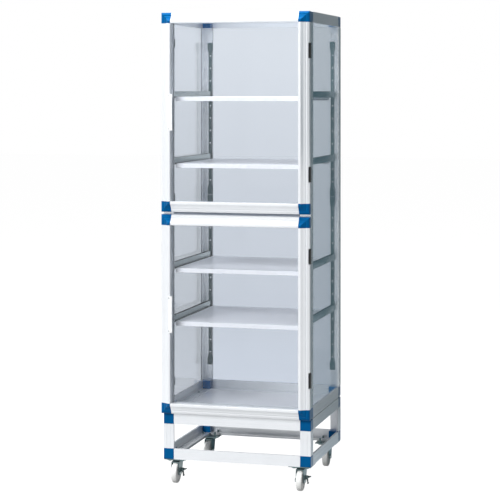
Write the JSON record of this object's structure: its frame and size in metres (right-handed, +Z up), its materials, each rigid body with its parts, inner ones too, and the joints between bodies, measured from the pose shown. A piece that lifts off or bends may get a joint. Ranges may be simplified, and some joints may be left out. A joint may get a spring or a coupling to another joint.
{
  "type": "clear-panelled storage cabinet on casters",
  "caption": "Tall clear-panelled cabinet: aluminium frame in blue corner blocks, stacked framed doors hinged right, lift-out shelves on slotted standards, open stand on swivel casters.",
  "frame": {"origin": "on the floor, under the middle of the whole object's bounding box", "axes": "+Z up, the doors face -Y, +X to the right of someone facing the doors"},
  "size_m": [0.574, 0.553, 1.76],
  "materials": {
    "anodised_aluminium": "satin anodised",
    "blue_plastic": "moulded satin",
    "clear_panel": "clear gloss",
    "slate_metal": "satin",
    "white_sheet": "satin",
    "white_plastic": "gloss",
    "white_nylon": "satin",
    "black_hinge": "satin",
    "black_plastic": "satin",
    "grey_seal": "matte",
    "zinc_steel": "zinc plated"
  },
  "bodies": {
    "cabinet": {"body_posts": "anodised_aluminium", "body_top_rails": "anodised_aluminium", "body_bottom_rails": "anodised_aluminium", "body_mid_rail": "slate_metal", "body_corner_blocks": "blue_plastic", "left_panel": "clear_panel", "right_panel": "clear_panel", "back_panel": "clear_panel", "top_panel": "clear_panel", "floor_panel": "white_sheet", "shelf_standards": "slate_metal", "shelf_rails": "slate_metal", "hinge_frame_leaves": "black_hinge", "hinge_pins": "black_hinge", "hinge_frame_screws": "zinc_steel", "catch_magnets": "black_plastic", "stand_posts": "anodised_aluminium", "stand_top_rails": "anodised_aluminium", "stand_bottom_rails": "anodised_aluminium", "stand_corner_blocks": "blue_plastic", "stand_bolts": "zinc_steel", "caster_gussets": "zinc_steel", "caster_top_plates": "zinc_steel", "caster_bolts": "zinc_steel"},
    "upper_door": {"upper_door_stiles": "anodised_aluminium", "upper_door_rails": "anodised_aluminium", "upper_door_blocks": "blue_plastic", "upper_door_pane": "clear_panel", "upper_door_seal": "grey_seal", "upper_door_pull": "white_plastic", "upper_door_hinge_leaves": "black_hinge", "upper_door_strike": "zinc_steel", "upper_door_screws": "zinc_steel"},
    "lower_door": {"lower_door_stiles": "anodised_aluminium", "lower_door_rails": "anodised_aluminium", "lower_door_blocks": "blue_plastic", "lower_door_pane": "clear_panel", "lower_door_seal": "grey_seal", "lower_door_pull": "white_plastic", "lower_door_hinge_leaves": "black_hinge", "lower_door_strike": "zinc_steel", "lower_door_screws": "zinc_steel"},
    "shelf_1_body": {"shelf_1": "white_sheet"},
    "shelf_2_body": {"shelf_2": "white_sheet"},
    "shelf_3_body": {"shelf_3": "white_sheet"},
    "shelf_4_body": {"shelf_4": "white_sheet"},
    "caster_front_left": {"caster_front_left_fork": "zinc_steel", "caster_front_left_axle": "zinc_steel"},
    "wheel_front_left": {"caster_front_left_wheel": "white_nylon"},
    "brake_front_left": {"front_left_brake_lever": "black_plastic"},
    "caster_front_right": {"caster_front_right_fork": "zinc_steel", "caster_front_right_axle": "zinc_steel"},
    "wheel_front_right": {"caster_front_right_wheel": "white_nylon"},
    "brake_front_right": {"front_right_brake_lever": "black_plastic"},
    "caster_back_left": {"caster_back_left_fork": "zinc_steel", "caster_back_left_axle": "zinc_steel"},
    "wheel_back_left": {"caster_back_left_wheel": "white_nylon"},
    "caster_back_right": {"caster_back_right_fork": "zinc_steel", "caster_back_right_axle": "zinc_steel"},
    "wheel_back_right": {"caster_back_right_wheel": "white_nylon"}
  },
  "joints": [
    {"name": "upper_door_hinge", "type": "hinge", "parent": "cabinet", "child": "upper_door", "pos_m": [0.283, -0.2475, 1.3885], "axis": [0, 0, 1], "range_deg": [0, 110]},
    {"name": "lower_door_hinge", "type": "hinge", "parent": "cabinet", "child": "lower_door", "pos_m": [0.283, -0.2475, 0.6365], "axis": [0, 0, 1], "range_deg": [0, 110]},
    {"name": "shelf_1_lift", "type": "slide", "parent": "cabinet", "child": "shelf_1_body", "axis": [0, 0, 1], "range_m": [0, 0.1]},
    {"name": "shelf_2_lift", "type": "slide", "parent": "cabinet", "child": "shelf_2_body", "axis": [0, 0, 1], "range_m": [0, 0.1]},
    {"name": "shelf_3_lift", "type": "slide", "parent": "cabinet", "child": "shelf_3_body", "axis": [0, 0, 1], "range_m": [0, 0.1]},
    {"name": "shelf_4_lift", "type": "slide", "parent": "cabinet", "child": "shelf_4_body", "axis": [0, 0, 1], "range_m": [0, 0.1]},
    {"name": "caster_front_left_swivel", "type": "hinge", "parent": "cabinet", "child": "caster_front_left", "pos_m": [-0.242, -0.1905, 0.078], "axis": [0, 0, 1], "continuous": true},
    {"name": "wheel_front_left_roll", "type": "hinge", "parent": "caster_front_left", "child": "wheel_front_left", "pos_m": [-0.24102, -0.21848, 0.0375], "axis": [0.9994, 0.0349, 0], "continuous": true},
    {"name": "brake_front_left_press", "type": "hinge", "parent": "caster_front_left", "child": "brake_front_left", "pos_m": [-0.22173, -0.1978, 0.046], "axis": [-0.0349, 0.9994, 0], "range_deg": [0, 20]},
    {"name": "caster_front_right_swivel", "type": "hinge", "parent": "cabinet", "child": "caster_front_right", "pos_m": [0.238, -0.1905, 0.078], "axis": [0, 0, 1], "continuous": true},
    {"name": "wheel_front_right_roll", "type": "hinge", "parent": "caster_front_right", "child": "wheel_front_right", "pos_m": [0.23898, -0.21848, 0.0375], "axis": [0.9994, 0.0349, 0], "continuous": true},
    {"name": "brake_front_right_press", "type": "hinge", "parent": "caster_front_right", "child": "brake_front_right", "pos_m": [0.25827, -0.1978, 0.046], "axis": [-0.0349, 0.9994, 0], "range_deg": [0, 20]},
    {"name": "caster_back_left_swivel", "type": "hinge", "parent": "cabinet", "child": "caster_back_left", "pos_m": [-0.242, 0.2335, 0.078], "axis": [0, 0, 1], "continuous": true},
    {"name": "wheel_back_left_roll", "type": "hinge", "parent": "caster_back_left", "child": "wheel_back_left", "pos_m": [-0.24102, 0.20552, 0.0375], "axis": [0.9994, 0.0349, 0], "continuous": true},
    {"name": "caster_back_right_swivel", "type": "hinge", "parent": "cabinet", "child": "caster_back_right", "pos_m": [0.238, 0.2335, 0.078], "axis": [0, 0, 1], "continuous": true},
    {"name": "wheel_back_right_roll", "type": "hinge", "parent": "caster_back_right", "child": "wheel_back_right", "pos_m": [0.23898, 0.20552, 0.0375], "axis": [0.9994, 0.0349, 0], "continuous": true}
  ]
}
